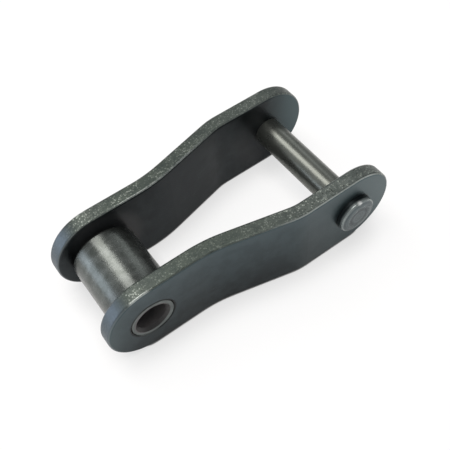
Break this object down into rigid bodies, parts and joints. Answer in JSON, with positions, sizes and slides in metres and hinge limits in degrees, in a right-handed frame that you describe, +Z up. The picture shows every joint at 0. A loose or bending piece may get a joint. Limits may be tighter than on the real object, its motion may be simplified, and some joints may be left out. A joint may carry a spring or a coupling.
{
  "type": "offset link",
  "caption": "Cranked link of a roller chain: a pair of blackened steel plates joined by a bush with a free roller at the narrow end and a riveted pin at the wide end.",
  "frame": {"origin": "middle of the bush, on its axis, half way between the plates and half way up them", "axes": "+X from the bush axis to the pin axis, +Y along the bush from the near plate to the far plate, +Z up; the link stands on the lower edges of its plates"},
  "size_m": [0.0541, 0.0296, 0.016],
  "materials": {
    "plate_steel": "blackened, satin faces and mottled sheared edges",
    "bush_steel": "blackened, satin",
    "roller_steel": "dark oiled steel, satin",
    "pin_steel": "dark ground steel, smooth"
  },
  "bodies": {
    "link": {"near_link_plate": "plate_steel", "far_link_plate": "plate_steel", "bush": "bush_steel", "pin": "pin_steel"},
    "roller": {"roller": "roller_steel"}
  },
  "joints": [
    {"name": "roller_spin", "type": "hinge", "parent": "link", "child": "roller", "pos_m": [0, 0, 0], "axis": [0, 1, 0], "continuous": true}
  ]
}
